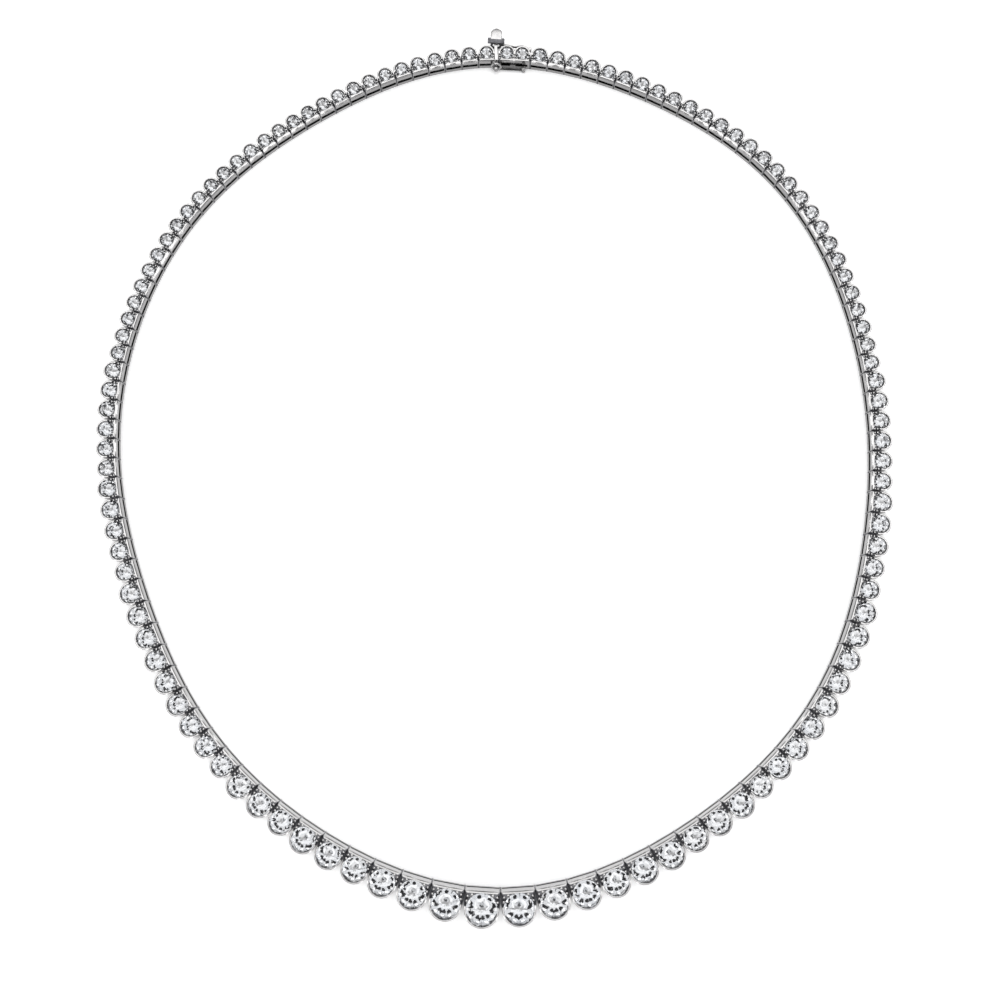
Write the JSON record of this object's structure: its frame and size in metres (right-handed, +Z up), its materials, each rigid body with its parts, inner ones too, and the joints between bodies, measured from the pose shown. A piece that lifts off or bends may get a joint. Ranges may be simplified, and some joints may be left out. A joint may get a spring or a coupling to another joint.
{
  "type": "riviere necklace",
  "caption": "Graduated necklace of round brilliants in hinged open-backed collet links, laid as a closed loop, with a box clasp, a folded tongue and two safety catches.",
  "frame": {"origin": "on the surface that the necklace lies on, under the middle of its box", "axes": "+Z up out of the tables of the stones, +Y towards the clasp, -Y towards the largest stone, +X to the right in the picture"},
  "size_m": [0.1338, 0.153, 0.0043],
  "materials": {
    "platinum": "polished platinum, burnished on the rims and finely drawn on the inner bars",
    "diamond": "colourless round brilliants with polished facets"
  },
  "bodies": {
    "necklace": {"links_right": "platinum", "links_left": "platinum", "stones_right": "diamond", "stones_left": "diamond", "clasp_box": "platinum", "clasp_stones": "diamond", "tongue_link": "platinum"},
    "outer_catch": {"outer_catch": "platinum"},
    "inner_catch": {"inner_catch": "platinum"}
  },
  "joints": [
    {"name": "outer_catch_hinge", "type": "hinge", "parent": "necklace", "child": "outer_catch", "pos_m": [0.00637, 0.07275, 0.0014], "axis": [0, 0, -1], "range_deg": [0, 120]},
    {"name": "inner_catch_hinge", "type": "hinge", "parent": "necklace", "child": "inner_catch", "pos_m": [0.00524, 0.06941, 0.0006], "axis": [0, 0, 1], "range_deg": [0, 120]}
  ]
}
